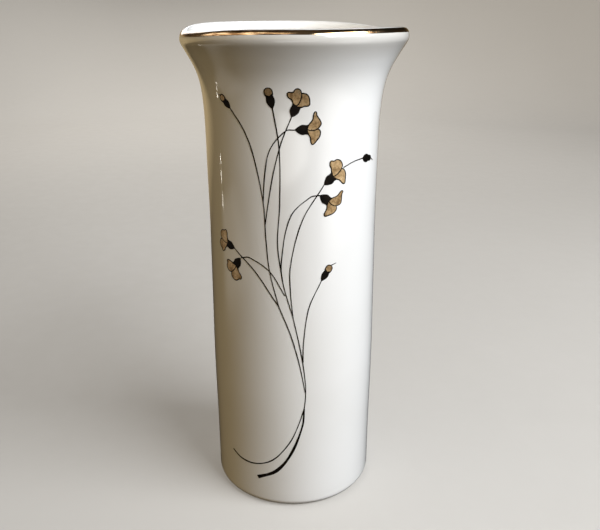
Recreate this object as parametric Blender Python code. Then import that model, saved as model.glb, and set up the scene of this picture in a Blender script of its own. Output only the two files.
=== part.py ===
"""A tall porcelain vase: a straight cylinder that flares into a gently dipping mouth, with a gilded lip
and a fired-on spray of bell flowers.

Each layer that the vase is built up from is its own closed solid: the clay body, its glaze, the gold
on the lip, and every separate island of the printed decoration.  Sizes are in millimetres.  The origin
is the centre of the foot, on the surface that the vase stands on, and -Y is the decorated front.
"""

import math

import bmesh
import bpy
import numpy
from mathutils import Vector
from mathutils.geometry import delaunay_2d_cdt, interpolate_bezier

MM = 0.001                      # metres in a millimetre

# ---- driving dimensions

HEIGHT = 240.0                  # over the lip's crown
BODY_RADIUS = 42.0              # outside of the straight part, over the glaze
WALL = 4.0                      # glazed wall of the straight part
FLOOR = 7.0                     # top of the inside floor
FLOOR_CORNER = 8.0              # rounding between the floor and the bore
BULGE = (20.0, 125.0, 0.4)      # low end, high end and size of a slight fullness low down
HOLLOW = (112.0, 184.0, -0.25)  # and of a slight slimness above it

FLARE_START = 184.0             # where the straight part begins to open
FLARE_HANDLE = 35.0             # length of the flare's lower curve handle
FLARE_END_HANDLE = 15.5         # length of its upper one
FLARE_LEAN = math.radians(28.4)  # slope of the flare where it meets the lip, off the vertical
BORE_TOP = 180.0                # where the bore begins to open
BORE_LEAN = 0.5                 # how far the inside's upper curve handle leans to the axis
LIP_OUTER = 3.1                 # width of the lip's rounding, out from its crown
LIP_INNER = 2.0                 # and in from it
LIP_DROP = 4.1                  # height of the rounding
LIP_MIDDLE = (49.97, HEIGHT - LIP_DROP)  # centre of the rounding, under its crown

FOOT_CORNER = 4.0               # rounding between the wall and the foot
FOOT_TURN = -60                 # how far round that corner the glaze reaches, in degrees
FOOT_OUTER = 37.4               # bare clay ring that the vase stands on
FOOT_INNER = 33.5
FOOT_BEND = (32.7, 1.4)         # bend of the bare clay between the ring and the recess
RECESS = 2.0                    # depth of the underside within the foot ring
RECESS_EDGE = 31.0              # where the flat of the underside ends
UNDERSIDE_EDGE = 30.5           # and where its glaze ends

GLAZE = 0.35                    # thickness of the glaze
GOLD = 0.15                     # thickness of the gold on the lip
GOLD_EDGES = (27, 66)           # its lower and upper edge, in degrees up round the lip's rounding
ENAMEL = 0.15                   # thickness of the printed decoration
GAP = 0.1                       # between the clay and its glaze, and the glaze and the gold
PRINT_GAP = 0.2                 # between the glaze and the decoration
PETAL_GAP = 0.14                # between a petal's gold and its black line

MOUTH_DIP = 2.4                 # how far the lip sinks on its two low sides
DIP_SIDE = math.radians(21)     # direction of one of them, from +X
DIP_POWER = 6                   # how narrow the two dips are
MOUTH_LEAN = 1.3                # how far the mouth has moved towards +X
WARP_START = 186.0              # height where the dip and the lean begin

# ---- fineness

SIDES = 48                      # facets round the vase
WALL_HEIGHTS = (34, 72, 110, 149)  # edges of the facets up the straight part
FLARE_STEPS = 6                 # facets up the outside of the flare
BORE_STEPS = 4                  # and up the inside of it
LIP_STEPS = 5                   # round the outer half of the lip, and the gold
LIP_INNER_STEPS = 3             # round the inner half
CORNER_STEPS = 2                # round the foot's corner and the floor's
STEM_STEP = 4.0                 # spacing of points along a stem
PETAL_STEP = 2.0                # along a flower's outline
BUD_STEP = 1.4                  # along a bud's petal
WELD = 0.001                    # points nearer than this are one point
FLATNESS = math.radians(1)      # bend below which two flat faces are one
SHARP = math.radians(40)        # bend above which an edge is shaded sharp

# ---- decoration, as distance round the front and height

STEM_WIDTH = 0.5
PETAL_LINE = 0.5
STEM_CLEARANCE = 0.25           # between a flower and the end of its stem
WHISKER_START = (8.5, 0)        # at the tip of a bud's petal
WHISKER_TIP = 0.35              # width of its free end

# Each stem starts at its flower and ends where it joins the next one.
STEMS = [
    [(-29, 206.5), (-22.5, 198), (-18, 187.5), (-13.5, 166), (-12.5, 148), (-11, 133), (-6.8, 115.5)],
    [(1, 198.5), (-3, 198), (-10, 189.5), (-12.5, 178), (-13.4, 166)],
    [(-0.5, 204), (-5, 192.5), (-9, 177), (-12.8, 155)],
    [(-8.5, 207.5), (-5.8, 190), (-5.8, 166), (-7, 146), (-4.7, 127.5)],
    [(-30, 141.2), (-18.3, 131.8), (-6.8, 115.5)],
    [(-26.1, 137.3), (-21, 138.2), (-11, 132.7), (-3.8, 121)],
    [(12.4, 169), (7.8, 168.3), (-1, 159.5), (-5.3, 138), (-4.7, 127.5), (0, 109.8)],
    [(14.3, 173.7), (4.5, 158), (-1.1, 136), (-1.1, 121.5), (0, 109.8)],
    [(13.5, 127.7), (7.5, 114.5), (4.9, 96), (4.7, 86)],
    [(-6.8, 115.5), (-1.2, 100.7), (3, 84.5), (5.8, 69)],
    [(0, 109.8), (3.8, 90.5), (5.9, 74), (5.9, 66), (5.3, 59.8)],
]

# The two brush curls below the stems, with their width where they start and where they end.
CURLS = [
    ([(5.3, 60), (2.3, 50), (-2, 40), (-10.5, 29), (-20, 24.3), (-29.5, 24), (-36.3, 26.6)], 0.45, 0.85),
    ([(5.3, 60), (4.5, 50), (-1.3, 33.3), (-9, 22.3), (-19.4, 16.2)], 0.7, 2.0),
]

# Flower shapes, drawn along +U from the end of the stem, with the stem's end at (0, 0).
CALYX_SIDE = [(0, 0.25), (1.2, 1.3), (3, 2.2), (4.8, 2.05), (6.3, 2.3)]
CALYX_NOTCH = (5.4, 0)
BUD_SIDE = [(0, 0.25), (1.2, 1.1), (3, 1.8), (4.6, 1.6), (6, 1.3)]
BUD_NOTCH = (5.2, 0)
CLOSED_BUD_SIDE = [(0, 0.25), (1, 1.5), (2.8, 2.2), (4.6, 2), (6, 1.3)]
SPIRE = [(5.6, 1.6), (7.5, 4.2), (8, 7), (8.8, 7.6), (9.3, 6), (10.8, 3.8), (11.3, 2.2), (10, 0.4),
         (8.4, -0.3), (5.6, 0)]
POINTED = [(5.6, 1.4), (6.8, 3.4), (7.2, 5.8), (8, 6.6), (9.7, 5), (11, 3.2), (11.3, 1), (10.2, -0.2),
           (8.4, -0.4), (5.6, 0)]
RUFFLED = [(5.6, 1.6), (6.9, 3), (7.3, 4.8), (8.6, 6), (9.4, 5.6), (10, 4), (11.9, 3.5), (12.3, 2),
           (11, 0.4), (8.4, -0.4), (5.6, 0)]
FULL = [(5.6, 1.6), (6.7, 3.4), (7.2, 5.2), (8.5, 6.3), (9.7, 5.3), (11.2, 4.8), (12.3, 3), (11.6, 0.6),
        (8.4, -0.5), (5.6, 0)]
BROAD = [(5.4, 1.6), (6.9, 3.3), (8, 5), (9.6, 4.6), (11.8, 2.8), (12.2, 1.2), (11.6, -0.4),
         (8.6, -0.5), (5.6, 0)]
BUD_PETAL = [(5, 1.2), (6.4, 1.9), (7.9, 1.5), (8.5, 0), (7.9, -1.5), (6.4, -1.9), (5, -1.2)]

# name: stem end, heading in degrees, size, and two petals as (shape, side, size), the front one first
FLOWERS = {
    "top_flower": ((-0.5, 204), 66, 0.92, [(RUFFLED, 1, 1.05), (BROAD, -1, 1.0)]),
    "upper_right_flower": ((1, 198.5), 0, 1.0, [(SPIRE, 1, 1.0), (POINTED, -1, 0.98)]),
    "right_upper_flower": ((14.3, 173.7), 37, 1.04, [(FULL, 1, 0.98), (POINTED, -1, 0.98)]),
    "right_lower_flower": ((12.4, 169), -37, 1.0, [(SPIRE, 1, 1.0), (POINTED, -1, 0.98)]),
    "left_upper_flower": ((-30, 141.2), 164, 0.95, [(FULL, -1, 0.98), (FULL, 1, 0.95)]),
    "left_lower_flower": ((-26.5, 137), -125, 1.0, [(FULL, -1, 0.9), (FULL, 1, 0.98)]),
}

# name: stem end, heading, size, width of the petal against its length, and the whisker beyond it
BUDS = {
    "upper_left_bud": ((-29, 206.5), 135, 0.9, 0.85, (10.4, 1.2)),
    "top_bud": ((-8.5, 207.5), 103, 1.05, 0.85, None),
    "right_bud": ((13.5, 127.7), 56, 1.0, 0.9, (10.8, -2)),
    "far_right_bud": ((36.3, 183), -8, 0.88, 0.7, (11.4, -1.4)),
}
CLOSED_BUD = "far_right_bud"    # black all over, on a stem of its own
CLOSED_BUD_STEM = [(24.0, 180.5), (30, 182.4), (36.3, 183)]
CLOSED_BUD_STEM_STEP = 5.5

# ---- colours: base colour, roughness, metallic

MATERIALS = {
    "bare_clay": ((0.80, 0.76, 0.70), 0.85, 0.0),
    "porcelain_glaze": ((0.90, 0.88, 0.84), 0.08, 0.0),
    "burnished_gold": ((0.83, 0.58, 0.27), 0.18, 1.0),
    "printed_gold": ((0.62, 0.39, 0.16), 0.38, 0.7),
    "black_enamel": ((0.012, 0.010, 0.009), 0.30, 0.0),
}


# ---- the scene

def clear_scene():
    for thing in list(bpy.data.objects):
        bpy.data.objects.remove(thing, do_unlink=True)


def material(name):
    """The named material, made the first time that it is asked for."""
    found = bpy.data.materials.get(name)
    if found:
        return found
    colour, roughness, metallic = MATERIALS[name]
    made = bpy.data.materials.new(name)
    made.use_nodes = True
    shader = made.node_tree.nodes["Principled BSDF"]
    shader.inputs["Base Color"].default_value = (*colour, 1.0)
    shader.inputs["Roughness"].default_value = roughness
    shader.inputs["Metallic"].default_value = metallic
    return made


def add_piece(name, mesh_builder, material_name, parent):
    """Turn a finished bmesh, in millimetres, into a named object under the vase's empty."""
    bmesh.ops.scale(mesh_builder, vec=(MM, MM, MM), verts=mesh_builder.verts)
    bmesh.ops.recalc_face_normals(mesh_builder, faces=mesh_builder.faces)
    mesh = bpy.data.meshes.new(name)
    mesh_builder.to_mesh(mesh)
    mesh_builder.free()
    mesh.shade_smooth()
    mesh.set_sharp_from_angle(angle=SHARP)
    mesh.materials.append(material(material_name))
    piece = bpy.data.objects.new(name, mesh)
    bpy.context.collection.objects.link(piece)
    piece.parent = parent
    return piece


# ---- the vase's outline, as (distance from the axis, height) pairs over the glaze

def arc(centre, radius_across, radius_up, start, end, steps):
    """Points of an ellipse's arc, its angles in degrees from the outward direction."""
    points = []
    for step in range(steps + 1):
        angle = math.radians(start + (end - start) * step / steps)
        points.append((centre[0] + radius_across * math.cos(angle),
                       centre[1] + radius_up * math.sin(angle)))
    return points


def swell(height, low, high, amount):
    """A smooth bulge or hollow that fades to nothing at its two ends."""
    if not low < height < high:
        return 0.0
    return amount * math.sin(math.pi * (height - low) / (high - low)) ** 2


def straight_radius(height):
    """The straight part is a hand-finished cylinder: a little full low down, a little slim above."""
    return BODY_RADIUS + swell(height, *BULGE) + swell(height, *HOLLOW)


def lip_start():
    """How far below its outermost part the lip's rounding meets the flare, as an angle round it."""
    return math.atan(math.tan(FLARE_LEAN) * LIP_DROP / LIP_OUTER)


def flare(steps):
    """The outside of the flare, from the straight part up to the lip."""
    up = Vector((math.sin(FLARE_LEAN), math.cos(FLARE_LEAN)))
    below = lip_start()
    top = Vector(LIP_MIDDLE) + Vector((LIP_OUTER * math.cos(below), -LIP_DROP * math.sin(below)))
    points = interpolate_bezier(
        Vector((BODY_RADIUS, FLARE_START)), Vector((BODY_RADIUS, FLARE_START + FLARE_HANDLE)),
        top - up * FLARE_END_HANDLE, top, steps + 1)
    return [(point.x, point.y) for point in points]


def inner_flare(steps):
    """The inside of the flare, from the lip down to the straight bore."""
    top = Vector(LIP_MIDDLE) - Vector((LIP_INNER, 0))
    bore = Vector((BODY_RADIUS - WALL, BORE_TOP))
    points = interpolate_bezier(top, top - Vector((BORE_LEAN, FLARE_END_HANDLE)),
                                bore + Vector((0, FLARE_HANDLE)), bore, steps + 1)
    return [(point.x, point.y) for point in points]


def outside():
    """The outside from the middle of the foot's corner to the lip's shoulder."""
    foot_centre = (BODY_RADIUS - FOOT_CORNER, FOOT_CORNER)
    line = arc(foot_centre, FOOT_CORNER, FOOT_CORNER, FOOT_TURN, 0, CORNER_STEPS)
    line += [(straight_radius(height), height) for height in WALL_HEIGHTS]
    return line + flare(FLARE_STEPS)


def inside():
    """The inside from the lip down to the middle of the floor."""
    corner_centre = (BODY_RADIUS - WALL - FLOOR_CORNER, FLOOR + FLOOR_CORNER)
    line = inner_flare(BORE_STEPS)
    line += arc(corner_centre, FLOOR_CORNER, FLOOR_CORNER, 0, -90, CORNER_STEPS)
    line.append((0.0, FLOOR))
    return line


def whole_line():
    """Foot, outside, lip, inside and floor, in one run."""
    outer_lip = arc(LIP_MIDDLE, LIP_OUTER, LIP_DROP, -math.degrees(lip_start()), 90, LIP_STEPS)
    inner_lip = arc(LIP_MIDDLE, LIP_INNER, LIP_DROP, 90, 180, LIP_INNER_STEPS)
    return outside() + outer_lip[1:] + inner_lip[1:] + inside()[1:]


def inward(line, distance):
    """The line moved into the wall by a distance; a line that ends on the axis stays on it."""
    moved = []
    for index, (across, up) in enumerate(line):
        before = Vector(line[max(index - 1, 0)])
        after = Vector(line[min(index + 1, len(line) - 1)])
        along = (after - before).normalized()
        new_across = 0.0 if across == 0 else across - along.y * distance
        moved.append((new_across, up + along.x * distance))
    return moved


# ---- turning the outline, and warping it as the kiln did

def warp(point):
    """Where a point of the true turned shape lies on the vase, whose mouth dips and leans."""
    rise = max(0.0, point.z - WARP_START) / (HEIGHT - WARP_START)
    share = rise * rise
    angle = math.atan2(point.y, point.x)
    dip = MOUTH_DIP * math.cos(angle - DIP_SIDE) ** DIP_POWER
    return Vector((point.x + MOUTH_LEAN * share, point.y, point.z - dip * share))


def turn(line, closed):
    """Spin a line of (distance, height) points round the axis into one closed, warped skin."""
    builder = bmesh.new()
    verts = [builder.verts.new((across, 0, up)) for across, up in line]
    pairs = list(zip(verts, verts[1:]))
    if closed:
        pairs.append((verts[-1], verts[0]))
    edges = [builder.edges.new(pair) for pair in pairs if pair[0].co.x or pair[1].co.x]
    bmesh.ops.spin(builder, geom=verts + edges, cent=(0, 0, 0), axis=(0, 0, 1),
                   angle=math.tau, steps=SIDES, use_merge=True)
    bmesh.ops.remove_doubles(builder, verts=builder.verts, dist=WELD)
    for vert in builder.verts:
        vert.co = warp(vert.co)
    return builder


def make_body(parent):
    """The clay: its own foot ring, and everywhere else a skin's thickness under the glaze."""
    under = RECESS + GLAZE + GAP
    foot = [(0.0, under), (RECESS_EDGE, under), FOOT_BEND, (FOOT_INNER, 0.0), (FOOT_OUTER, 0.0)]
    line = foot + inward(whole_line(), GLAZE + GAP)
    add_piece("porcelain_body", turn(line, closed=False), "bare_clay", parent)


def make_glaze(parent):
    line = whole_line()
    skin = line + inward(line, GLAZE)[::-1]
    add_piece("glaze_coat", turn(skin, closed=True), "porcelain_glaze", parent)


def make_underside_glaze(parent):
    top = RECESS + GLAZE
    skin = [(0.0, RECESS), (UNDERSIDE_EDGE, RECESS), (UNDERSIDE_EDGE, top), (0.0, top)]
    add_piece("underside_glaze", turn(skin, closed=False), "porcelain_glaze", parent)


def make_gold_rim(parent):
    """The gold runs round the outer shoulder of the lip, just below its crown."""
    low, high = GOLD_EDGES
    over = GAP + GOLD
    skin = arc(LIP_MIDDLE, LIP_OUTER + over, LIP_DROP + over, low, high, LIP_STEPS)
    skin += arc(LIP_MIDDLE, LIP_OUTER + GAP, LIP_DROP + GAP, high, low, LIP_STEPS)
    add_piece("gold_rim_band", turn(skin, closed=True), "burnished_gold", parent)


# ---- flat drawing of the decoration

def smooth_path(points, step):
    """A smooth curve through the points, sampled about every step."""
    points = [Vector(point) for point in points]
    last = len(points) - 1
    path = [points[0]]
    for index in range(last):
        start, end = points[index], points[index + 1]
        length = (end - start).length
        before = points[max(index - 1, 0)]
        after = points[min(index + 2, last)]
        leave = (end - before).normalized() * length / 3
        arrive = (after - start).normalized() * length / 3
        count = max(2, math.ceil(length / step) + 1)
        path += interpolate_bezier(start, start + leave, end - arrive, end, count)[1:]
    return path


def smooth_loop(points, step):
    """A smooth closed curve through the points."""
    padded = [points[-2], points[-1], *points, points[0], points[1]]
    path = smooth_path(padded, step)
    start = Vector(points[0])
    at_start = [index for index, point in enumerate(path) if (point - start).length < WELD]
    return path[at_start[0]:at_start[-1]]


def round_their_centre(corners):
    """The corners in anticlockwise order, so that a tight bend can't cross its own outline."""
    centre = sum(corners, Vector((0, 0))) / len(corners)
    return sorted(corners, key=lambda corner: math.atan2(*(corner - centre).yx))


def stroke(path, start_width, end_width, closed=False):
    """A line of changing width along a path, as one four-cornered outline for each of its steps."""
    left = []
    right = []
    last = len(path) - 1
    for index, point in enumerate(path):
        before = path[index - 1] if closed or index else point
        after = path[(index + 1) % len(path)] if closed or index < last else point
        across = (after - before).normalized().orthogonal()
        width = start_width + (end_width - start_width) * index / last
        left.append(point + across * width / 2)
        right.append(point - across * width / 2)
    first = 0 if closed else 1
    return [round_their_centre([left[i - 1], left[i], right[i], right[i - 1]])
            for i in range(first, len(path))]


def place(points, stem_end, heading, size, side=1):
    """Move a flower shape's points to its stem, turned to its heading."""
    angle = math.radians(heading)
    along = Vector((math.cos(angle), math.sin(angle)))
    across = Vector((-along.y, along.x)) * side
    origin = Vector(stem_end)
    return [origin + (along * u + across * v) * size for u, v in points]


def is_anticlockwise(outline):
    following = outline[1:] + outline[:1]
    return sum(here.cross(there) for here, there in zip(outline, following)) > 0


def fill(shapes, wanted):
    """Flat triangles of the ground that `wanted` accepts, given the names of the shapes over it.

    Shapes is a list of (name, outline) pairs.  Only the largest connected piece is kept.
    """
    points = []
    loops = []
    names = []
    for name, outline in shapes:
        loops.append(list(range(len(points), len(points) + len(outline))))
        points += outline if is_anticlockwise(outline) else outline[::-1]
        names.append(name)
    flat, _, triangles, _, _, origins = delaunay_2d_cdt(points, [], loops, 1, WELD)
    builder = bmesh.new()
    verts = [builder.verts.new((point.x, point.y, 0)) for point in flat]
    for corners, sources in zip(triangles, origins):
        if wanted({names[source] for source in sources}):
            builder.faces.new([verts[corner] for corner in corners])
    keep_largest(builder)
    bmesh.ops.dissolve_limit(builder, angle_limit=FLATNESS, use_dissolve_boundaries=False,
                             verts=builder.verts, edges=builder.edges)
    bmesh.ops.triangulate(builder, faces=builder.faces)
    return builder


def keep_largest(builder):
    """Delete all but the largest group of faces that share edges, and every loose point."""
    seen = set()
    groups = []
    for face in builder.faces:
        if face in seen:
            continue
        group = []
        waiting = [face]
        seen.add(face)
        while waiting:
            current = waiting.pop()
            group.append(current)
            for edge in current.edges:
                for other in edge.link_faces:
                    if other not in seen:
                        seen.add(other)
                        waiting.append(other)
        groups.append(group)
    groups.sort(key=lambda group: sum(face.calc_area() for face in group))
    for group in groups[:-1]:
        bmesh.ops.delete(builder, geom=group, context="FACES")
    loose = [vert for vert in builder.verts if not vert.link_faces]
    bmesh.ops.delete(builder, geom=loose, context="VERTS")


# ---- laying the drawing on the vase

GLAZE_LINE = outside()
GLAZE_HEIGHTS = [up for _, up in GLAZE_LINE]
GLAZE_RADII = [across for across, _ in GLAZE_LINE]


def on_glaze(point):
    """A drawing's point (distance round the front, height, lift) as a point over the glaze."""
    angle = point.x / BODY_RADIUS - math.pi / 2
    radius = float(numpy.interp(point.y, GLAZE_HEIGHTS, GLAZE_RADII)) + point.z
    return warp(Vector((radius * math.cos(angle), radius * math.sin(angle), point.y)))


def print_piece(name, builder, material_name, parent):
    """Give a flat drawing its thickness and wrap it round the vase."""
    result = bmesh.ops.extrude_face_region(builder, geom=builder.faces[:], use_keep_orig=True)
    raised = {item for item in result["geom"] if isinstance(item, bmesh.types.BMVert)}
    for vert in builder.verts:
        vert.co.z = PRINT_GAP + (ENAMEL if vert in raised else 0.0)
    for vert in builder.verts:
        vert.co = on_glaze(vert.co)
    add_piece(name, builder, material_name, parent)


def make_stems(parent):
    """Every stem and both curls, joined into one line drawing."""
    shapes = []
    flower_ends = [details[0] for details in [*FLOWERS.values(), *BUDS.values()]]
    for points in STEMS:
        path = smooth_path(points, STEM_STEP)
        if points[0] in flower_ends:
            path[0] = path[0] + (path[1] - path[0]).normalized() * STEM_CLEARANCE
        shapes += [("stem", outline) for outline in stroke(path, STEM_WIDTH, STEM_WIDTH)]
    for points, start_width, end_width in CURLS:
        path = smooth_path(points, STEM_STEP)
        shapes += [("curl", outline) for outline in stroke(path, start_width, end_width)]
    print_piece("stem_spray", fill(shapes, bool), "black_enamel", parent)


def calyx_outline(shape, notch, stem_end, heading, size):
    """A flask-shaped cup with a notched mouth, from the shape of its one side."""
    side = smooth_path(shape, PETAL_STEP)
    other = [Vector((point.x, -point.y)) for point in side]
    return place([*side, Vector(notch), *reversed(other)], stem_end, heading, size)


def loop_stroke(name, loop, width):
    return [(name, outline) for outline in stroke(loop, width, width, closed=True)]


def make_flower(name, parent, stem_end, heading, size, petals):
    """A black calyx and petal line in one piece, and the gold inside each petal."""
    calyx = calyx_outline(CALYX_SIDE, CALYX_NOTCH, stem_end, heading, size)
    outlines = [("calyx", calyx)]
    lines = []
    margins = loop_stroke("rim", calyx, 2 * GAP)
    for number, (shape, side, petal_size) in enumerate(petals):
        loop = place(smooth_loop(shape, PETAL_STEP), stem_end, heading, size * petal_size, side)
        outlines.append((f"petal{number}", loop))
        lines += loop_stroke(f"line{number}", loop, PETAL_LINE)
        margins += loop_stroke(f"near{number}", loop, PETAL_LINE + 2 * PETAL_GAP)

    def is_black(over):
        behind = "line1" in over and "petal0" not in over
        return "calyx" in over or "line0" in over or behind

    def is_front_gold(over):
        return "petal0" in over and not over & {"near0", "calyx", "rim"}

    def is_rear_gold(over):
        return "petal1" in over and not over & {"near1", "near0", "petal0", "calyx", "rim"}

    print_piece(f"{name}_line", fill(outlines + lines, is_black), "black_enamel", parent)
    gold = outlines + margins
    print_piece(f"{name}_front_petal", fill(gold, is_front_gold), "printed_gold", parent)
    print_piece(f"{name}_rear_petal", fill(gold, is_rear_gold), "printed_gold", parent)


def make_bud(name, parent, stem_end, heading, size, petal_width, whisker):
    """A calyx with one small petal standing out of it, and on most of them a whisker."""
    closed = name == CLOSED_BUD
    calyx = calyx_outline(CLOSED_BUD_SIDE if closed else BUD_SIDE, BUD_NOTCH, stem_end, heading, size)
    petal = [(u, v * petal_width) for u, v in BUD_PETAL]
    loop = place(smooth_loop(petal, BUD_STEP), stem_end, heading, size)
    outlines = [("calyx", calyx), ("petal", loop)]
    lines = loop_stroke("line", loop, PETAL_LINE)
    margins = loop_stroke("rim", calyx, 2 * GAP) + loop_stroke("near", loop, PETAL_LINE + 2 * PETAL_GAP)
    if whisker:
        path = place([WHISKER_START, whisker], stem_end, heading, size)
        lines += [("whisker", outline) for outline in stroke(path, PETAL_LINE, WHISKER_TIP)]
    if closed:
        path = smooth_path(CLOSED_BUD_STEM, CLOSED_BUD_STEM_STEP)
        lines += [("stem", outline) for outline in stroke(path, STEM_WIDTH, STEM_WIDTH)]

    def is_black(over):
        return bool(over & {"calyx", "line", "whisker", "stem"}) or closed and "petal" in over

    def is_gold(over):
        return "petal" in over and not over & {"near", "calyx", "rim"}

    print_piece(f"{name}_line", fill(outlines + lines, is_black), "black_enamel", parent)
    if not closed:
        print_piece(f"{name}_petal", fill(outlines + margins, is_gold), "printed_gold", parent)


def main():
    clear_scene()
    vase = bpy.data.objects.new("vase", None)
    bpy.context.collection.objects.link(vase)
    make_body(vase)
    make_glaze(vase)
    make_underside_glaze(vase)
    make_gold_rim(vase)
    make_stems(vase)
    for name, details in FLOWERS.items():
        make_flower(name, vase, *details)
    for name, details in BUDS.items():
        make_bud(name, vase, *details)


main()
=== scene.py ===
"""Looks of the porcelain vase: fine glazed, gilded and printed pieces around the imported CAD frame.

The vase is drawn in millimetres, with the CAD's own numbers, and each finished piece is scaled to
metres.  The origin is the centre of the foot, on the surface that the vase stands on, and -Y is the
decorated front.  Materials, lights, room and camera are in metres.
"""

import math

import bmesh
import bpy
import numpy
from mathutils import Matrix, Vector
from mathutils.geometry import delaunay_2d_cdt, interpolate_bezier


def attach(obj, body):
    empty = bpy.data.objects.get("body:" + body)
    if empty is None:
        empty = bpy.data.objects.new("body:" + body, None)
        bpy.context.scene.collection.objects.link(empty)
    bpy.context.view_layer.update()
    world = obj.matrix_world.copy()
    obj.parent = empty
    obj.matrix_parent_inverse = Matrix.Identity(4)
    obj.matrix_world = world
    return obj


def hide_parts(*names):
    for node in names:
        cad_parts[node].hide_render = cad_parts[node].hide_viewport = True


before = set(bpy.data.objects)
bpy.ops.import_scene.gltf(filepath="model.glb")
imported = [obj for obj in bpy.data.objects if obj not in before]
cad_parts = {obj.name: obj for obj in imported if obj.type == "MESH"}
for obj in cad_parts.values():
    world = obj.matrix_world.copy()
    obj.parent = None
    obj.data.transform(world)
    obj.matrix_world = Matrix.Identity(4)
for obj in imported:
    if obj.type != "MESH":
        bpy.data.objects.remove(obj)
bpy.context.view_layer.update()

MM = 0.001                      # metres in a millimetre

# ---- the vase's own dimensions, as in the CAD

HEIGHT = 240.0                  # over the lip's crown
BODY_RADIUS = 42.0              # outside of the straight part, over the glaze
WALL = 4.0                      # glazed wall of the straight part
FLOOR = 7.0                     # top of the inside floor
FLOOR_CORNER = 8.0              # rounding between the floor and the bore
BULGE = (20.0, 125.0, 0.4)      # low end, high end and size of a slight fullness low down
HOLLOW = (112.0, 184.0, -0.25)  # and of a slight slimness above it

FLARE_START = 184.0             # where the straight part begins to open
FLARE_HANDLE = 35.0             # length of the flare's lower curve handle
FLARE_END_HANDLE = 15.5         # length of its upper one
FLARE_LEAN = math.radians(28.4)  # slope of the flare where it meets the lip, off the vertical
BORE_TOP = 180.0                # where the bore begins to open
BORE_LEAN = 0.5                 # how far the inside's upper curve handle leans to the axis
LIP_OUTER = 3.1                 # width of the lip's rounding, out from its crown
LIP_INNER = 2.0                 # and in from it
LIP_DROP = 4.1                  # height of the rounding
LIP_MIDDLE = (49.97, HEIGHT - LIP_DROP)  # centre of the rounding, under its crown

FOOT_CORNER = 4.0               # rounding between the wall and the foot
FOOT_TURN = -60                 # how far round that corner the glaze reaches, in degrees
FOOT_OUTER = 37.4               # bare clay ring that the vase stands on
FOOT_INNER = 33.5
FOOT_OUTER_EDGE = 0.4           # roundings of the ring's two edges
FOOT_INNER_EDGE = 0.5
FOOT_BEND = (32.7, 1.4)         # bend of the bare clay between the ring and the recess
RECESS = 2.0                    # depth of the underside within the foot ring
RECESS_EDGE = 31.0              # where the flat of the underside ends
UNDERSIDE_EDGE = 30.5           # and where its glaze ends

GLAZE = 0.35                    # thickness of the glaze
GAP = 0.1                       # between the clay and its glaze
GOLD_EDGES = (27, 66)           # the gold's lower and upper edge, in degrees up the lip's rounding

MOUTH_DIP = 2.4                 # how far the lip sinks on its two low sides
DIP_SIDE = math.radians(21)     # direction of one of them, from +X
DIP_POWER = 6                   # how narrow the two dips are
MOUTH_LEAN = 1.3                # how far the mouth has moved towards +X
WARP_START = 186.0              # height where the dip and the lean begin

# ---- what only the visual pieces have

GOLD_LIFT = 0.06                # top of the gold over the glaze
GOLD_SINK = -0.03               # its underside, bedded into the glaze
GOLD_TRIM = 1                   # how much narrower its top is at each edge, in degrees
GOLD_WAVER = ((1.5, 3, 0.7), (1.2, 8, 2.1), (0.7, 19, 0.3))  # degrees, waves round the lip, phase
PRINT_LIFT = 0.03               # between the glaze and the decoration
ENAMEL = 0.07                   # thickness of the decoration
STEM_WAVER = 0.12               # how much a stem's width varies
PETAL_WAVER = 0.1               # and a petal line's
WAVER_ROUND = 0.37              # how fast it varies with the distance round
WAVER_UP = 0.21                 # and with the height

# ---- fineness

SIDES = 160                     # facets round the vase
GOLD_SIDES = 320                # and round the gilding
WALL_POINTS = 40                # heights up the straight part
FLARE_STEPS = 28                # facets up the outside of the flare
BORE_STEPS = 24                 # and up the inside of it
LIP_STEPS = 20                  # round the outer half of the lip
LIP_INNER_STEPS = 12            # and round the inner half
GOLD_STEPS = 12                 # across the gold
CORNER_STEPS = 10               # round the foot's corner
FLOOR_STEPS = 12                # and the floor's
FOOT_INNER_STEPS = 4            # round the edges of the foot ring
FOOT_OUTER_STEPS = 3
UNDERSIDE_STEPS = 6             # round the edge of the underside's glaze
CURVE_STEP = 0.8                # spacing of points along a stem
CALYX_STEP = 0.5                # along a calyx
PETAL_STEP = 0.45               # along a flower's petal
BUD_STEP = 0.4                  # along a bud's petal
STRIP = 1.0                     # width of the strips that wrap a drawing round the vase
WELD = 0.0005                   # points nearer than this, in a drawing's own units, are one point
CUT_SLACK = 0.0001              # points nearer than this to a strip's edge are on it
FLATNESS = math.radians(0.2)    # bend below which two flat faces are one
SHARP = math.radians(35)        # bend above which an edge is shaded sharp

# ---- decoration, as distance round the front and height

STEM_WIDTH = 0.5
PETAL_LINE = 0.5
WHISKER_START = (8.5, 0)        # at the tip of a bud's petal
WHISKER_TIP = 0.25              # width of its free end

# Each stem starts at its flower and ends where it joins the next one.
STEMS = [
    [(-29, 206.5), (-22.5, 198), (-18, 187.5), (-13.5, 166), (-12.5, 148), (-11, 133), (-6.8, 115.5)],
    [(1, 198.5), (-3, 198), (-10, 189.5), (-12.5, 178), (-13.4, 166)],
    [(-0.5, 204), (-5, 192.5), (-9, 177), (-12.8, 155)],
    [(-8.5, 207.5), (-5.8, 190), (-5.8, 166), (-7, 146), (-4.7, 127.5)],
    [(-30, 141.2), (-18.3, 131.8), (-6.8, 115.5)],
    [(-26.1, 137.3), (-21, 138.2), (-11, 132.7), (-3.8, 121)],
    [(12.4, 169), (7.8, 168.3), (-1, 159.5), (-5.3, 138), (-4.7, 127.5), (0, 109.8)],
    [(14.3, 173.7), (4.5, 158), (-1.1, 136), (-1.1, 121.5), (0, 109.8)],
    [(13.5, 127.7), (7.5, 114.5), (4.9, 96), (4.7, 86)],
    [(-6.8, 115.5), (-1.2, 100.7), (3, 84.5), (5.8, 69)],
    [(0, 109.8), (3.8, 90.5), (5.9, 74), (5.9, 66), (5.3, 59.8)],
]

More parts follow.
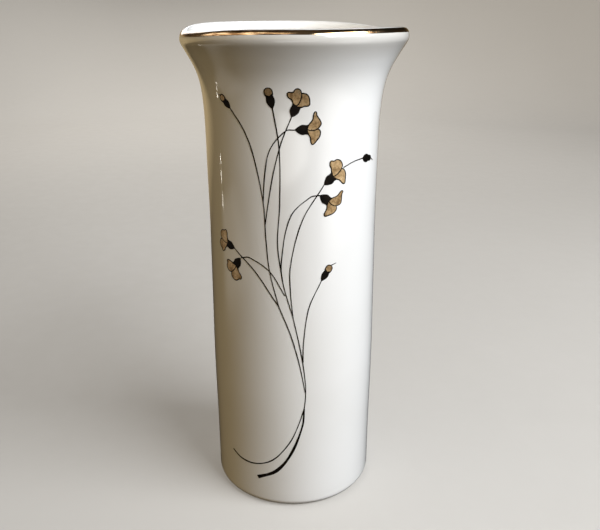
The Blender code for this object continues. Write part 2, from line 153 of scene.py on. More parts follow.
# The two brush curls below the stems, with their width where they start and where they end.
CURLS = [
    ([(5.3, 60), (2.3, 50), (-2, 40), (-10.5, 29), (-20, 24.3), (-29.5, 24), (-36.3, 26.6)], 0.45, 0.85),
    ([(5.3, 60), (4.5, 50), (-1.3, 33.3), (-9, 22.3), (-19.4, 16.2)], 0.7, 2.0),
]

# Flower shapes, drawn along +U from the end of the stem, with the stem's end at (0, 0).
CALYX_SIDE = [(0, 0.25), (1.2, 1.3), (3, 2.2), (4.8, 2.05), (6.3, 2.3)]
CALYX_NOTCH = (5.4, 0)
BUD_SIDE = [(0, 0.25), (1.2, 1.1), (3, 1.8), (4.6, 1.6), (6, 1.3)]
BUD_NOTCH = (5.2, 0)
CLOSED_BUD_SIDE = [(0, 0.25), (1, 1.5), (2.8, 2.2), (4.6, 2), (6, 1.3)]
SPIRE = [(5.6, 1.6), (7.5, 4.2), (8, 7), (8.8, 7.6), (9.3, 6), (10.8, 3.8), (11.3, 2.2), (10, 0.4),
         (8.4, -0.3), (5.6, 0)]
POINTED = [(5.6, 1.4), (6.8, 3.4), (7.2, 5.8), (8, 6.6), (9.7, 5), (11, 3.2), (11.3, 1), (10.2, -0.2),
           (8.4, -0.4), (5.6, 0)]
RUFFLED = [(5.6, 1.6), (6.9, 3), (7.3, 4.8), (8.6, 6), (9.4, 5.6), (10, 4), (11.9, 3.5), (12.3, 2),
           (11, 0.4), (8.4, -0.4), (5.6, 0)]
FULL = [(5.6, 1.6), (6.7, 3.4), (7.2, 5.2), (8.5, 6.3), (9.7, 5.3), (11.2, 4.8), (12.3, 3), (11.6, 0.6),
        (8.4, -0.5), (5.6, 0)]
BROAD = [(5.4, 1.6), (6.9, 3.3), (8, 5), (9.6, 4.6), (11.8, 2.8), (12.2, 1.2), (11.6, -0.4),
         (8.6, -0.5), (5.6, 0)]
BUD_PETAL = [(5, 1.2), (6.4, 1.9), (7.9, 1.5), (8.5, 0), (7.9, -1.5), (6.4, -1.9), (5, -1.2)]

# name: stem end, heading in degrees, size, and two petals as (shape, side, size), the front one first
FLOWERS = {
    "top_flower": ((-0.5, 204), 66, 0.92, [(RUFFLED, 1, 1.05), (BROAD, -1, 1.0)]),
    "upper_right_flower": ((1, 198.5), 0, 1.0, [(SPIRE, 1, 1.0), (POINTED, -1, 0.98)]),
    "right_upper_flower": ((14.3, 173.7), 37, 1.04, [(FULL, 1, 0.98), (POINTED, -1, 0.98)]),
    "right_lower_flower": ((12.4, 169), -37, 1.0, [(SPIRE, 1, 1.0), (POINTED, -1, 0.98)]),
    "left_upper_flower": ((-30, 141.2), 164, 0.95, [(FULL, -1, 0.98), (FULL, 1, 0.95)]),
    "left_lower_flower": ((-26.5, 137), -125, 1.0, [(FULL, -1, 0.9), (FULL, 1, 0.98)]),
}

# name: stem end, heading, size, width of the petal against its length, and the whisker beyond it
BUDS = {
    "upper_left_bud": ((-29, 206.5), 135, 0.9, 0.85, (10.4, 1.2)),
    "top_bud": ((-8.5, 207.5), 103, 1.05, 0.85, None),
    "right_bud": ((13.5, 127.7), 56, 1.0, 0.9, (10.8, -2)),
    "far_right_bud": ((36.3, 183), -8, 0.88, 0.7, (11.4, -1.4)),
}
CLOSED_BUD = "far_right_bud"    # black all over, on a stem of its own
CLOSED_BUD_STEM = [(24.0, 180.5), (30, 182.4), (36.3, 183)]

# ---- looks

LIP_SHADE_SPAN = (48.5, 52.5)       # distance from the axis over which painted shade greys the glaze near the lip
LIP_SHADE_DEPTH = 0.45         # and how far down its colours the painted shade goes

# ---- the studio

STAGE_REACH = 1.7
STAGE_BEND = 0.5                # radius of the sweep from the floor to the backdrop
STAGE_TOP = 2.6
STAGE_SIDES = 96
STAGE_STEPS = 16

# name: place, aim, width, height, watts, colour
LIGHTS = {
    "window": ((0.69, -0.47, 0.74), (0, 0, 0.10), 0.85, 0.62, 18.6, (0.95, 0.98, 1.02)),
    "left_wall": ((-0.72, -0.10, 0.86), (0, 0, 0.236), 1.1, 0.32, 1.7, (1.0, 0.93, 0.85)),
    "bright_shelf": ((-0.40, -0.48, 1.16), (0, 0, 0.236), 0.8, 0.24, 0.85, (1.0, 0.93, 0.85)),
    "back_fill": ((-0.22, 1.35, 0.85), (0, 0, 0.12), 1.0, 0.8, 14.0, (1.0, 0.985, 0.96)),
    "bright_corner": ((-0.27, 0.93, 0.54), (-0.05, 0, 0.238), 0.40, 0.40, 0.95, (0.95, 1.0, 1.08)),
}
CARDS = ("left_wall", "bright_shelf", "bright_corner")  # show in gloss and metal, and light nothing
SHADOWLESS = "back_fill"        # the room's light from behind, which doesn't show in gloss

# Cards on the table, which show in the glaze: distance and direction of the middle of the left
# side, width, length, watts and faded share.
PATCHES = (
    (0.95, -24, 1.10, 0.75, 6.0, 0.17),
    (0.62, 28, 0.70, 0.70, 2.2, 0.30),
    (0.42, -112, 0.40, 0.45, 0.30, 0.30),
)
PATCH_HEIGHT = 0.002
PATCH_COLOUR = (1.0, 0.99, 0.97)

# Bright slots beside a curtain, low and high end, which show as small upright glints.
SLOTS = ((0.0411, 0.0552), (0.0671, 0.0819), (0.0893, 0.0986))
SLOT_PLACE = (-0.412, 0.1015)
SLOT_AIM = (-0.033, -0.026)
SLOT_WIDTH = 0.009
SLOT_WATTS = 0.003
SLOT_COLOUR = (1.0, 0.95, 0.85)

# The room's colour from straight down (0) to straight up (1): dark ground, warm walls, dim ceiling.
ROOM = (
    (0.49, (0.02, 0.014, 0.008)),
    (0.55, (0.92, 0.70, 0.38)),
    (0.66, (0.92, 0.70, 0.38)),
    (0.76, (0.06, 0.045, 0.03)),
)
WALL_DROP = 0.33                # how much lower the bright wall is behind the vase

# How the room's light dims to the right of the vase and behind it: the shares of the way there between
# which it dims, and its strength at each.
ROOM_RIGHT = (-0.1, 0.5, 1.0, 0.10)
ROOM_BEHIND = (0.7, 0.95, 1.0, 0.45)

CAMERA_PLACE = (0.0, -0.3477, 0.2523)
CAMERA_DOWN = 20.74             # degrees below the level
CAMERA_TURN = -0.611            # and to the left of straight ahead
LENS = 42.67
SENSOR = 36.0


# ---- materials

class Tree:
    """A node tree, with short ways to add nodes.  An input is a value or another node's output."""

    def __init__(self, tree):
        self.tree = tree

    def link(self, output, target):
        self.tree.links.new(output, target)

    def add(self, kind, *inputs, **settings):
        """A new node with its settings and first inputs."""
        node = self.tree.nodes.new(f"ShaderNode{kind}")
        for name, value in settings.items():
            setattr(node, name, value)
        for socket, value in zip(node.inputs, inputs):
            if isinstance(value, (int, float, tuple)):
                socket.default_value = value
            else:
                self.link(value, socket)
        return node

    def math(self, operation, *values):
        return self.add("Math", *values, operation=operation).outputs["Value"]

    def map_range(self, source, low, high, to_low=0.0, to_high=1.0, kind="LINEAR"):
        node = self.add("MapRange", source, low, high, to_low, to_high, interpolation_type=kind)
        return node.outputs["Result"]

    def split(self, vector):
        return self.add("SeparateXYZ", vector).outputs

    def ramp(self, source, stops):
        node = self.add("ValToRGB", source)
        while len(node.color_ramp.elements) < len(stops):
            node.color_ramp.elements.new(0.5)
        for element, (position, colour) in zip(node.color_ramp.elements, stops):
            element.position = position
            element.color = (*colour, 1.0)
        return node.outputs["Color"]


class Nodes(Tree):
    """A new material's node tree."""

    def __init__(self, name, roughness, metallic=0.0, **sockets):
        self.material = bpy.data.materials.new(name)
        self.material.use_nodes = True
        super().__init__(self.material.node_tree)
        self.shader = self.tree.nodes["Principled BSDF"]
        self.shader.inputs["Roughness"].default_value = roughness
        self.shader.inputs["Metallic"].default_value = metallic
        for socket, value in sockets.items():
            self.shader.inputs[socket.replace("_", " ")].default_value = value
        self.place = self.add("TexCoord").outputs["Object"]

    def noise(self, scale, detail=2.0, place=None, distortion=0.0):
        node = self.add("TexNoise", place or self.place)
        node.inputs["Scale"].default_value = scale
        node.inputs["Detail"].default_value = detail
        node.inputs["Distortion"].default_value = distortion
        return node.outputs["Fac"]

    def colour(self, source, stops):
        self.link(self.ramp(source, stops), self.shader.inputs["Base Color"])

    def rough(self, source, low, high):
        self.link(self.map_range(source, 0.3, 0.7, low, high), self.shader.inputs["Roughness"])

    def bump(self, *layers):
        """Each layer is (height output, depth in millimetres)."""
        below = None
        for source, depth in layers:
            node = self.add("Bump")
            node.inputs["Strength"].default_value = 1.0
            node.inputs["Distance"].default_value = depth * MM
            self.link(source, node.inputs["Height"])
            if below:
                self.link(below, node.inputs["Normal"])
            below = node.outputs["Normal"]
        self.link(below, self.shader.inputs["Normal"])

    def from_axis(self):
        """Distance from the vase's axis."""
        flat = self.add("VectorMath", self.place, (1.0, 1.0, 0.0), operation="MULTIPLY")
        return self.add("VectorMath", flat.outputs["Vector"], operation="LENGTH").outputs["Value"]

    def round_vase(self, round_scale, height_scale):
        """The place on the vase as (direction from the axis, height), stretched by two scales."""
        split = self.split(self.place)
        angle = self.math("ARCTAN2", split["Y"], split["X"])
        join = self.add("CombineXYZ", self.math("COSINE", angle), self.math("SINE", angle),
                        self.math("MULTIPLY", split["Z"], height_scale))
        grow = self.add("VectorMath", join.outputs["Vector"], (round_scale, round_scale, 1.0),
                        operation="MULTIPLY")
        return grow.outputs["Vector"]


def porcelain_glaze():
    """White porcelain under clear glaze: faint warm clouding, and painted shade that greys it towards
    the lip.
    """
    nodes = Nodes("porcelain_glaze", 0.1, IOR=1.52, Coat_Weight=0.25, Coat_Roughness=0.04)
    start, end = (distance * MM for distance in LIP_SHADE_SPAN)
    # Painted shade: near the lip, the colour is pulled down towards the ramp's grey end by distance from
    # the axis.
    thin = nodes.map_range(nodes.from_axis(), start, end, 0.0, LIP_SHADE_DEPTH)
    cloud = nodes.math("MULTIPLY", nodes.noise(14, 3), 0.5)
    shade = nodes.math("SUBTRACT", nodes.math("ADD", cloud, 0.5), thin)
    nodes.colour(shade, [(0.25, (0.60, 0.58, 0.545)), (0.65, (0.82, 0.81, 0.785)),
                         (0.85, (0.87, 0.865, 0.85))])
    nodes.rough(nodes.noise(45, 4), 0.035, 0.075)
    nodes.bump((nodes.noise(38, 1), 0.05), (nodes.noise(420, 2), 0.0035))
    return nodes.material


def bare_clay():
    """The unglazed foot: chalky, with a fine grit."""
    nodes = Nodes("bare_clay", 0.85)
    nodes.colour(nodes.noise(160, 6), [(0.3, (0.62, 0.56, 0.47)), (0.7, (0.78, 0.73, 0.66))])
    nodes.rough(nodes.noise(600, 3), 0.7, 0.95)
    nodes.bump((nodes.noise(900, 5), 0.03), (nodes.noise(3500, 2), 0.012))
    return nodes.material


def burnished_gold():
    """Brushed-on liquid gold: lengthwise brush drag, darker where it is thin."""
    nodes = Nodes("burnished_gold", 0.2, 1.0)
    drag = nodes.noise(1.0, 6, nodes.round_vase(9, 3200), 0.3)
    patches = nodes.noise(70, 4)
    mixed = nodes.math("ADD", nodes.math("MULTIPLY", drag, 0.5),
                       nodes.math("MULTIPLY", patches, 0.5))
    nodes.colour(mixed, [(0.42, (0.22, 0.12, 0.05)), (0.50, (0.80, 0.54, 0.30)),
                         (0.60, (0.93, 0.72, 0.45))])
    nodes.rough(mixed, 0.24, 0.09)
    nodes.bump((drag, 0.012), (nodes.noise(900, 3), 0.004))
    return nodes.material


def printed_gold():
    """Gold screened through a mesh: a fine mottle that turns its sheen patchy."""
    nodes = Nodes("printed_gold", 0.35, 0.75)
    mottle = nodes.noise(1100, 3)
    patches = nodes.noise(260, 3)
    mixed = nodes.math("ADD", nodes.math("MULTIPLY", mottle, 0.45),
                       nodes.math("MULTIPLY", patches, 0.55))
    nodes.colour(mixed, [(0.38, (0.30, 0.18, 0.08)), (0.50, (0.56, 0.37, 0.18)),
                         (0.64, (0.76, 0.55, 0.31))])
    nodes.rough(patches, 0.42, 0.26)
    nodes.bump((mottle, 0.008))
    return nodes.material


def black_enamel():
    """Fired black enamel: brown-black where it is thin, with a satin skin."""
    nodes = Nodes("black_enamel", 0.4, Specular_IOR_Level=0.08)
    thin = nodes.noise(320, 4)
    nodes.colour(thin, [(0.35, (0.003, 0.0025, 0.002)), (0.75, (0.014, 0.009, 0.006))])
    nodes.rough(nodes.noise(700, 3), 0.34, 0.52)
    nodes.bump((nodes.noise(1400, 3), 0.006))
    return nodes.material


def studio_floor():
    """Pale matt card, with a little light of its own that evens it out."""
    nodes = Nodes("studio_floor", 0.75, Emission_Color=(1.0, 0.97, 0.92, 1.0), Emission_Strength=0.09)
    nodes.colour(nodes.noise(3, 4), [(0.3, (0.42, 0.405, 0.38)), (0.7, (0.44, 0.425, 0.40))])
    nodes.rough(nodes.noise(60, 4), 0.65, 0.85)
    nodes.bump((nodes.noise(500, 4), 0.02))
    return nodes.material


# ---- pieces

def add_piece(name, builder, material, stands_for):
    """Turn a finished bmesh, in millimetres, into a visible piece that rides on the vase."""
    bmesh.ops.scale(builder, vec=(MM, MM, MM), verts=builder.verts)
    bmesh.ops.recalc_face_normals(builder, faces=builder.faces)
    mesh = bpy.data.meshes.new(name)
    builder.to_mesh(mesh)
    builder.free()
    mesh.shade_smooth()
    mesh.set_sharp_from_angle(angle=SHARP)
    mesh.materials.append(material)
    piece = bpy.data.objects.new(name, mesh)
    bpy.context.collection.objects.link(piece)
    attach(piece, "root")
    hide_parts(stands_for)


# ---- the vase's outline, as (distance from the axis, height) pairs over the glaze

def arc(centre, radius_across, radius_up, start, end, steps):
    """Part of an ellipse round a centre, between two angles in degrees."""
    points = []
    for step in range(steps + 1):
        angle = math.radians(start + (end - start) * step / steps)
        points.append((centre[0] + radius_across * math.cos(angle),
                       centre[1] + radius_up * math.sin(angle)))
    return points


def swell(height, low, high, amount):
    """A smooth bump in the radius, between two heights."""
    if not low < height < high:
        return 0.0
    return amount * math.sin(math.pi * (height - low) / (high - low)) ** 2


def straight_radius(height):
    """Radius of the cylinder below the flare, which isn't quite straight."""
    return BODY_RADIUS + swell(height, *BULGE) + swell(height, *HOLLOW)


def lip_start():
    """How far below the lip's middle its rounding leaves the flare, as an angle on the ellipse."""
    return math.atan(math.tan(FLARE_LEAN) * LIP_DROP / LIP_OUTER)


def flare(steps):
    """The outside from the straight part up to the lip."""
    up = Vector((math.sin(FLARE_LEAN), math.cos(FLARE_LEAN)))
    below = lip_start()
    top = Vector(LIP_MIDDLE) + Vector((LIP_OUTER * math.cos(below), -LIP_DROP * math.sin(below)))
    points = interpolate_bezier(
        Vector((BODY_RADIUS, FLARE_START)), Vector((BODY_RADIUS, FLARE_START + FLARE_HANDLE)),
        top - up * FLARE_END_HANDLE, top, steps + 1)
    return [(point.x, point.y) for point in points]


def inner_flare(steps):
    """The inside from the lip down to the bore."""
    top = Vector(LIP_MIDDLE) - Vector((LIP_INNER, 0))
    bore = Vector((BODY_RADIUS - WALL, BORE_TOP))
    points = interpolate_bezier(
        top, top - Vector((BORE_LEAN, FLARE_END_HANDLE)),
        bore + Vector((0, FLARE_HANDLE)), bore, steps + 1)
    return [(point.x, point.y) for point in points]


def outside():
    """The outside from the middle of the foot's corner to the lip's shoulder."""
    foot_centre = (BODY_RADIUS - FOOT_CORNER, FOOT_CORNER)
    line = arc(foot_centre, FOOT_CORNER, FOOT_CORNER, FOOT_TURN, 0, CORNER_STEPS)
    heights = numpy.linspace(FOOT_CORNER, FLARE_START, WALL_POINTS)[1:-1]
    line += [(straight_radius(height), float(height)) for height in heights]
    return line + flare(FLARE_STEPS)


def inside():
    """The inside from the lip down to the middle of the floor."""
    corner = (BODY_RADIUS - WALL - FLOOR_CORNER, FLOOR + FLOOR_CORNER)
    line = inner_flare(BORE_STEPS)
    line += arc(corner, FLOOR_CORNER, FLOOR_CORNER, 0, -90, FLOOR_STEPS)
    line.append((0.0, FLOOR))
    return line


def whole_line():
    """Foot, outside, lip, inside and floor, in one run."""
    outer_lip = arc(LIP_MIDDLE, LIP_OUTER, LIP_DROP, -math.degrees(lip_start()), 90, LIP_STEPS)
    inner_lip = arc(LIP_MIDDLE, LIP_INNER, LIP_DROP, 90, 180, LIP_INNER_STEPS)
    return outside() + outer_lip[1:] + inner_lip[1:] + inside()[1:]


def inward(line, distance):
    """The line moved into the wall by a distance; a line that ends on the axis stays on it."""
    moved = []
    for index, (across, up) in enumerate(line):
        before = Vector(line[max(index - 1, 0)])
        after = Vector(line[min(index + 1, len(line) - 1)])
        along = (after - before).normalized()
        new_across = 0.0 if across == 0 else across - along.y * distance
        moved.append((new_across, up + along.x * distance))
    return moved


# ---- turning the outline, and warping it as the kiln did

def warp(point):
    """Where a point of the true turned shape has moved to, near the mouth."""
    rise = max(0.0, point.z - WARP_START) / (HEIGHT - WARP_START)
    share = rise * rise
    angle = math.atan2(point.y, point.x)
    dip = MOUTH_DIP * math.cos(angle - DIP_SIDE) ** DIP_POWER
    return Vector((point.x + MOUTH_LEAN * share, point.y, point.z - dip * share))


def turn(line, closed=False, sides=SIDES):
    """Spin a line of (distance, height) points round the axis; a closed one has its ends joined."""
    builder = bmesh.new()
    verts = [builder.verts.new((across, 0, up)) for across, up in line]
    pairs = list(zip(verts, verts[1:]))
    if closed:
        pairs.append((verts[-1], verts[0]))
    edges = [builder.edges.new(pair) for pair in pairs if pair[0].co.x or pair[1].co.x]
    bmesh.ops.spin(builder, geom=verts + edges, cent=(0, 0, 0), axis=(0, 0, 1),
                   angle=math.tau, steps=sides, use_merge=True)
    bmesh.ops.remove_doubles(builder, verts=builder.verts, dist=WELD)
    return builder


def warp_all(builder):
    for vert in builder.verts:
        vert.co = warp(vert.co)
    return builder


def make_body(material):
    """The clay, which shows only as the bare ring that the vase stands on."""
    floor_glaze = RECESS + GLAZE + GAP
    ring = [(0.0, floor_glaze), (RECESS_EDGE, floor_glaze), FOOT_BEND]
    inner, outer = FOOT_INNER_EDGE, FOOT_OUTER_EDGE
    ring += arc((FOOT_INNER + inner, inner), inner, inner, 180, 270, FOOT_INNER_STEPS)
    ring += arc((FOOT_OUTER - outer, outer), outer, outer, 270, 330, FOOT_OUTER_STEPS)
    line = ring + inward(whole_line(), GLAZE + GAP)
    add_piece("clay_body", warp_all(turn(line)), material, "porcelain_body")


def make_glaze(material):
    """The clear skin over the outside, the lip and the inside."""
    line = whole_line()
    skin = line + inward(line, GLAZE)[::-1]
    add_piece("glaze_skin", warp_all(turn(skin, closed=True)), material, "glaze_coat")


def make_underside_glaze(material):
    """The patch of glaze within the foot ring."""
    half = GLAZE / 2
    skin = [(0.0, RECESS)]
    skin += arc((UNDERSIDE_EDGE - half, RECESS + half), half, half, -90, 90, UNDERSIDE_STEPS)
    skin.append((0.0, RECESS + GLAZE))
    add_piece("underside_skin", warp_all(turn(skin)), material, "underside_glaze")


def make_gold_rim(material):
    """The gold round the lip's outer shoulder, just below its crown, with a hand-drawn lower edge."""
    low, high = GOLD_EDGES
    skin = []
    for lift, start, end in ((GOLD_LIFT, low + GOLD_TRIM, high - GOLD_TRIM), (GOLD_SINK, high, low)):
        skin += arc((0, 0), LIP_OUTER + lift, LIP_DROP + lift, start, end, GOLD_STEPS)
    builder = bmesh.new()
    rings = []
    for side in range(GOLD_SIDES):
        turned = math.tau * side / GOLD_SIDES
        waver = sum(size * math.sin(waves * turned + phase) for size, waves, phase in GOLD_WAVER)
        ring = []
        for across, up in skin:
            share = 1 - up / LIP_DROP
            tilt = math.radians(waver * share)
            moved = Vector(LIP_MIDDLE) + Vector((across * math.cos(tilt) - up * math.sin(tilt),
                                                 across * math.sin(tilt) + up * math.cos(tilt)))
            at = Vector((moved.x * math.cos(turned), moved.x * math.sin(turned), moved.y))
            ring.append(builder.verts.new(warp(at)))
        rings.append(ring)
    for ring, following in zip(rings, rings[1:] + rings[:1]):
        for index in range(len(skin)):
            after = (index + 1) % len(skin)
            builder.faces.new((ring[index], following[index], following[after], ring[after]))
    add_piece("gold_lip", builder, material, "gold_rim_band")


# ---- flat drawing of the decoration

def smooth_path(points, step):
    """A smooth curve through the points, sampled about every step."""
    points = [Vector(point) for point in points]
    last = len(points) - 1
    path = [points[0]]
    for index in range(last):
        start, end = points[index], points[index + 1]
        length = (end - start).length
        before = points[max(index - 1, 0)]
        after = points[min(index + 2, last)]
        leave = (end - before).normalized() * length / 3
        arrive = (after - start).normalized() * length / 3
        count = max(2, math.ceil(length / step) + 1)
        path += interpolate_bezier(start, start + leave, end - arrive, end, count)[1:]
    return path


def smooth_loop(points, step):
    """A smooth closed curve through the points."""
    padded = [points[-2], points[-1], *points, points[0], points[1]]
    path = smooth_path(padded, step)
    start = Vector(points[0])
    at_start = [index for index, point in enumerate(path) if (point - start).length < WELD]
    return path[at_start[0]:at_start[-1]]


def round_their_centre(corners):
    """The corners in anticlockwise order, so that a tight bend can't cross its own outline."""
    centre = sum(corners, Vector((0, 0))) / len(corners)
    return sorted(corners, key=lambda corner: math.atan2(*(corner - centre).yx))


def stroke(path, start_width, end_width, closed=False, waver=0.0):
    """A line of changing width along a path, as one four-cornered outline for each of its steps."""
    left = []
    right = []
    last = len(path) - 1
    for index, point in enumerate(path):
        before = path[index - 1] if closed or index else point
        after = path[(index + 1) % len(path)] if closed or index < last else point
        across = (after - before).normalized().orthogonal()
        width = start_width + (end_width - start_width) * index / last
        width *= 1 + waver * math.sin(WAVER_UP * point.y + WAVER_ROUND * point.x)
        left.append(point + across * width / 2)
        right.append(point - across * width / 2)
    first = 0 if closed else 1
    return [round_their_centre([left[i - 1], left[i], right[i], right[i - 1]])
            for i in range(first, len(path))]


def place(points, stem_end, heading, size, side=1):
    """Move a flower shape's points to its stem, turned to its heading."""
    angle = math.radians(heading)
    along = Vector((math.cos(angle), math.sin(angle)))
    across = Vector((-along.y, along.x)) * side
    origin = Vector(stem_end)
    return [origin + (along * u + across * v) * size for u, v in points]


def is_anticlockwise(outline):
    following = outline[1:] + outline[:1]
    return sum(here.cross(there) for here, there in zip(outline, following)) > 0


def fill(shapes, wanted):
    """Flat triangles of the ground that `wanted` accepts, given the names of the shapes over it.

    Shapes is a list of (name, outline) pairs.  Only the largest connected piece is kept.
    """
    points = []
    loops = []
    names = []
    for name, outline in shapes:
        loops.append(list(range(len(points), len(points) + len(outline))))
        points += outline if is_anticlockwise(outline) else outline[::-1]
        names.append(name)
    flat, _, triangles, _, _, origins = delaunay_2d_cdt(points, [], loops, 1, WELD)
    builder = bmesh.new()
    verts = [builder.verts.new((point.x, point.y, 0)) for point in flat]
    for corners, sources in zip(triangles, origins):
        if wanted({names[source] for source in sources}):
            builder.faces.new([verts[corner] for corner in corners])
    keep_largest(builder)
    bmesh.ops.dissolve_limit(builder, angle_limit=FLATNESS, use_dissolve_boundaries=False,
                             verts=builder.verts, edges=builder.edges)
    bmesh.ops.triangulate(builder, faces=builder.faces)
    return builder


def keep_largest(builder):
    """Delete all but the largest group of faces that share edges, and every loose point."""
    seen = set()
    groups = []
    for face in builder.faces:
        if face in seen:
            continue
        group = []
        waiting = [face]
        seen.add(face)
        while waiting:
            current = waiting.pop()
            group.append(current)
            for edge in current.edges:
                for other in edge.link_faces:
                    if other not in seen:
                        seen.add(other)
                        waiting.append(other)
        groups.append(group)
    groups.sort(key=lambda group: sum(face.calc_area() for face in group))
    for group in groups[:-1]:
        bmesh.ops.delete(builder, geom=group, context="FACES")
    loose = [vert for vert in builder.verts if not vert.link_faces]
    bmesh.ops.delete(builder, geom=loose, context="VERTS")


# ---- laying the drawing on the vase

GLAZE_LINE = outside()
GLAZE_HEIGHTS = [up for _, up in GLAZE_LINE]
GLAZE_RADII = [across for across, _ in GLAZE_LINE]


def on_glaze(point):
    """A drawing's point (distance round the front, height, lift) as a point over the glaze."""
    angle = point.x / BODY_RADIUS - math.pi / 2
    radius = float(numpy.interp(point.y, GLAZE_HEIGHTS, GLAZE_RADII)) + point.z
    return warp(Vector((radius * math.cos(angle), radius * math.sin(angle), point.y)))


def cut_in_strips(builder):
    """Cut a flat drawing into narrow strips, so that it can bend round the vase."""
    low = min(vert.co.x for vert in builder.verts)
    high = max(vert.co.x for vert in builder.verts)
    at = math.ceil(low / STRIP) * STRIP
    while at < high:
        everything = builder.verts[:] + builder.edges[:] + builder.faces[:]
        bmesh.ops.bisect_plane(builder, geom=everything, dist=CUT_SLACK, plane_co=(at, 0, 0),
                               plane_no=(1, 0, 0))
        at += STRIP


def print_piece(name, builder, material):
    """Give a flat drawing its thickness and wrap it round the vase."""
    cut_in_strips(builder)
    result = bmesh.ops.extrude_face_region(builder, geom=builder.faces[:], use_keep_orig=True)
    raised = {item for item in result["geom"] if isinstance(item, bmesh.types.BMVert)}
    for vert in builder.verts:
        vert.co.z = PRINT_LIFT + (ENAMEL if vert in raised else 0.0)
    for vert in builder.verts:
        vert.co = on_glaze(vert.co)
    add_piece(f"print_{name}", builder, material, name)


def stem_stroke(name, points, start_width=STEM_WIDTH, end_width=STEM_WIDTH):
    """The outlines of a smooth line through the points, each with the line's name."""
    path = smooth_path(points, CURVE_STEP)
    return [(name, outline) for outline in stroke(path, start_width, end_width, waver=STEM_WAVER)]


def make_stems(enamel):
    """Every stem and both curls, joined into one line drawing."""
    shapes = []
    for points in STEMS:
        shapes += stem_stroke("stem", points)
    for points, start_width, end_width in CURLS:
        shapes += stem_stroke("curl", points, start_width, end_width)
    print_piece("stem_spray", fill(shapes, bool), enamel)


def calyx_outline(shape, notch, stem_end, heading, size):
    """A flask-shaped cup with a notched mouth, from the shape of its one side."""
    side = smooth_path(shape, CALYX_STEP)
    other = [Vector((point.x, -point.y)) for point in side]
    return place([*side, Vector(notch), *reversed(other)], stem_end, heading, size)


def loop_stroke(name, loop):
    """The outlines of the line round a petal, each with the line's name."""
    outlines = stroke(loop, PETAL_LINE, PETAL_LINE, closed=True, waver=PETAL_WAVER)
    return [(name, outline) for outline in outlines]


def make_flower(name, enamel, gold, stem_end, heading, size, petals):
    """A black calyx and petal line in one piece, and the gold inside each petal."""
    calyx = calyx_outline(CALYX_SIDE, CALYX_NOTCH, stem_end, heading, size)
    outlines = [("calyx", calyx)]
    lines = []
    for number, (shape, side, petal_size) in enumerate(petals):
        loop = place(smooth_loop(shape, PETAL_STEP), stem_end, heading, size * petal_size, side)
        outlines.append((f"petal{number}", loop))
        lines += loop_stroke(f"line{number}", loop)
    shapes = outlines + lines

    def is_black(over):
        behind = "line1" in over and "petal0" not in over
        return "calyx" in over or "line0" in over or behind

    def is_front_gold(over):
        return "petal0" in over and not is_black(over)

    def is_rear_gold(over):
        return "petal1" in over and "petal0" not in over and not is_black(over)

    print_piece(f"{name}_line", fill(shapes, is_black), enamel)
    print_piece(f"{name}_front_petal", fill(shapes, is_front_gold), gold)
    print_piece(f"{name}_rear_petal", fill(shapes, is_rear_gold), gold)


def make_bud(name, enamel, gold, stem_end, heading, size, petal_width, whisker):
    """A calyx with one small petal standing out of it, and on most of them a whisker."""
    closed = name == CLOSED_BUD
    side = CLOSED_BUD_SIDE if closed else BUD_SIDE
    calyx = calyx_outline(side, BUD_NOTCH, stem_end, heading, size)
    petal = [(u, v * petal_width) for u, v in BUD_PETAL]
    loop = place(smooth_loop(petal, BUD_STEP), stem_end, heading, size)
    outlines = [("calyx", calyx), ("petal", loop)]
    lines = loop_stroke("line", loop)
    if whisker:
        path = place([WHISKER_START, whisker], stem_end, heading, size)
        lines += [("whisker", outline) for outline in stroke(path, PETAL_LINE, WHISKER_TIP)]
    if closed:
        lines += stem_stroke("stem", CLOSED_BUD_STEM)
    shapes = outlines + lines

    def is_black(over):
        return bool(over & {"calyx", "line", "whisker", "stem"}) or closed and "petal" in over

    def is_gold(over):
        return "petal" in over and not is_black(over)

    print_piece(f"{name}_line", fill(shapes, is_black), enamel)
    if not closed:
        print_piece(f"{name}_petal", fill(shapes, is_gold), gold)


# ---- the studio

def make_stage():
    """A pale round floor that sweeps up into a backdrop on every side.

    The vase doesn't see it, so its own light and reflections are those of the room alone.
    """
    flat = STAGE_REACH - STAGE_BEND
    profile = [(0.0, 0.0), (flat, 0.0)]
    profile += arc((flat, STAGE_BEND), STAGE_BEND, STAGE_BEND, -90, 0, STAGE_STEPS)[1:]
    profile.append((STAGE_REACH, STAGE_TOP))
    builder = turn(profile, sides=STAGE_SIDES)
    mesh = bpy.data.meshes.new("studio_floor")
    builder.to_mesh(mesh)
    builder.free()
    mesh.shade_smooth()
    mesh.materials.append(studio_floor())
    floor = bpy.data.objects.new("studio_floor", mesh)
    floor.visible_diffuse = False
    floor.visible_glossy = False
    floor.visible_shadow = False
    bpy.context.collection.objects.link(floor)


def area_light(name, place_at, look_at, width, height, watts, colour):
    """A rectangular light that the camera doesn't see."""
    data = bpy.data.lights.new(name, "AREA")
    data.shape = "RECTANGLE"
    data.size = width
    data.size_y = height
    data.energy = watts
    data.color = colour
    light = bpy.data.objects.new(name, data)
    light.location = place_at
    light.rotation_euler = (Vector(look_at) - Vector(place_at)).to_track_quat("-Z", "Y").to_euler()
    light.visible_camera = False
    bpy.context.collection.objects.link(light)
    return light


def reflected_only(light):
    """Make a light a card that shows in gloss and metal, and lights nothing."""
    light.visible_diffuse = False
    light.visible_transmission = False
    light.data.use_shadow = False


def soft_edged(light, margin):
    """Fade a card out over a share of its width and length, so that its reflection has no edge."""
    light.data.use_nodes = True
    nodes = Tree(light.data.node_tree)
    split = nodes.split(nodes.add("NewGeometry").outputs["Parametric"])
    fades = [nodes.map_range(nodes.math("PINGPONG", split[axis], 0.5), 0.0, margin, kind="SMOOTHSTEP")
             for axis in "XY"]
    nodes.link(nodes.math("MULTIPLY", *fades), nodes.tree.nodes["Emission"].inputs["Strength"])


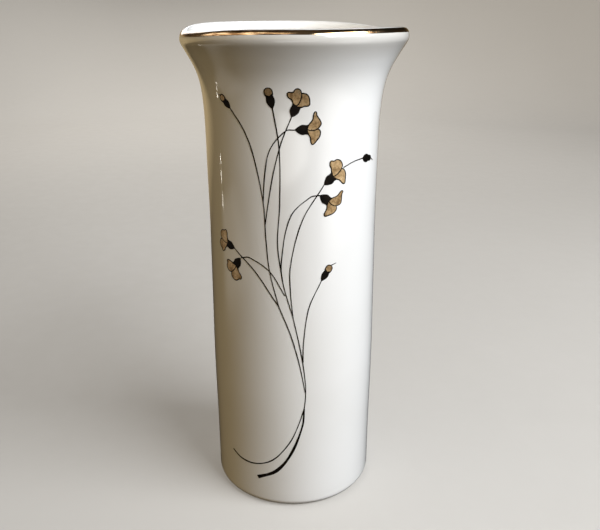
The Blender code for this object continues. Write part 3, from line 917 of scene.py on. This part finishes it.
def make_lights():
    """A high soft window on the right, and what it lights up around the vase."""
    for name, settings in LIGHTS.items():
        light = area_light(name, *settings)
        if name in CARDS:
            reflected_only(light)
        if name == SHADOWLESS:
            light.visible_glossy = False
            light.data.use_shadow = False
    for number, (distance, azimuth, width, length, watts, margin) in enumerate(PATCHES):
        angle = math.radians(azimuth)
        away = Vector((math.sin(angle), -math.cos(angle), 0.0))
        beside = Vector((math.cos(angle), math.sin(angle), 0.0))
        middle = away * distance + beside * width / 2 + Vector((0, 0, PATCH_HEIGHT))
        patch = area_light(f"patch_{number}", middle, middle + Vector((0, 0, 1)), width, length, watts,
                           PATCH_COLOUR)
        patch.rotation_euler = (math.pi, 0.0, angle)
        reflected_only(patch)
        soft_edged(patch, margin)
    for number, (low, high) in enumerate(SLOTS):
        middle = (low + high) / 2
        slot = area_light(f"slot_{number}", (*SLOT_PLACE, middle), (*SLOT_AIM, middle), SLOT_WIDTH,
                          high - low, SLOT_WATTS, SLOT_COLOUR)
        reflected_only(slot)


def make_room():
    """The soft surround: warm walls that dim towards the right, a dim ceiling and a dark ground."""
    world = bpy.data.worlds.new("room")
    world.use_nodes = True
    nodes = Tree(world.node_tree)
    split = nodes.split(nodes.add("TexCoord").outputs["Generated"])
    behind = nodes.math("MAXIMUM", split["Y"], 0.0)
    lowered = nodes.math("MULTIPLY_ADD", behind, WALL_DROP, split["Z"])
    colour = nodes.ramp(nodes.map_range(lowered, -1.0, 1.0), ROOM)
    strength = nodes.math("MULTIPLY", nodes.map_range(split["X"], *ROOM_RIGHT),
                          nodes.map_range(behind, *ROOM_BEHIND))
    background = nodes.tree.nodes["Background"]
    nodes.link(colour, background.inputs["Color"])
    nodes.link(strength, background.inputs["Strength"])
    bpy.context.scene.world = world


def make_camera():
    """The photo's own view of the vase."""
    data = bpy.data.cameras.new("camera")
    data.lens = LENS
    data.sensor_width = SENSOR
    data.clip_start = 0.01
    data.clip_end = 20.0
    camera = bpy.data.objects.new("camera", data)
    camera.location = CAMERA_PLACE
    camera.rotation_euler = (math.radians(90 - CAMERA_DOWN), 0.0, math.radians(CAMERA_TURN))
    bpy.context.collection.objects.link(camera)
    bpy.context.scene.camera = camera
    bpy.context.scene.view_settings.view_transform = "Standard"


def main():
    glaze = porcelain_glaze()
    enamel = black_enamel()
    gold = printed_gold()
    make_camera()
    make_body(bare_clay())
    make_glaze(glaze)
    make_underside_glaze(glaze)
    make_gold_rim(burnished_gold())
    make_stems(enamel)
    for name, details in FLOWERS.items():
        make_flower(name, enamel, gold, *details)
    for name, details in BUDS.items():
        make_bud(name, enamel, gold, *details)
    make_stage()
    make_lights()
    make_room()


main()
